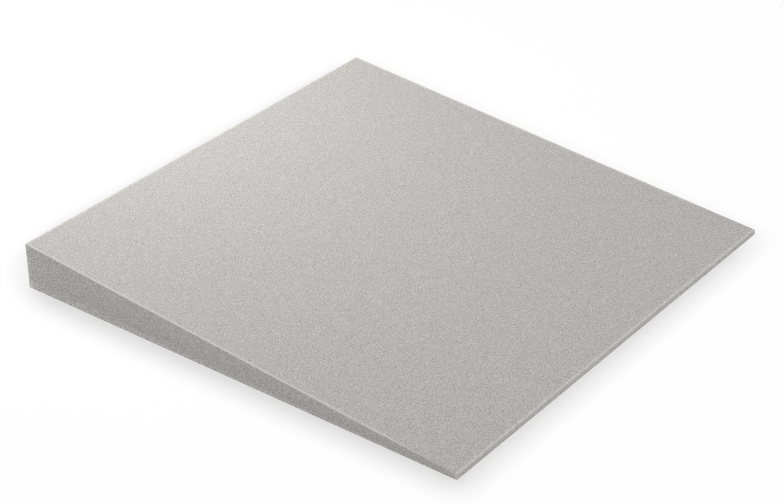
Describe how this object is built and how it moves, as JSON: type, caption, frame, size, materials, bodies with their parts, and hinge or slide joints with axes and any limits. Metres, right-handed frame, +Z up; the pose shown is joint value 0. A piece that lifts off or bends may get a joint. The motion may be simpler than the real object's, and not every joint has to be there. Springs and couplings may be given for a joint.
{
  "type": "acoustic foam panel",
  "caption": "Square slab of light grey open-cell foam with a flat base and a plain flat top that tapers from a thick end to a thin end.",
  "frame": {"origin": "the middle of the base, on the surface that the panel lies on", "axes": "+X down the taper from the thick end to the thin end, +Y across it, +Z up out of the base"},
  "size_m": [0.5, 0.5, 0.0479],
  "materials": {
    "foam": "light grey open-cell polyurethane foam, cut with a blade, dead matt with fine open pores"
  },
  "bodies": {
    "root": {"foam_panel": "foam"}
  },
  "joints": []
}
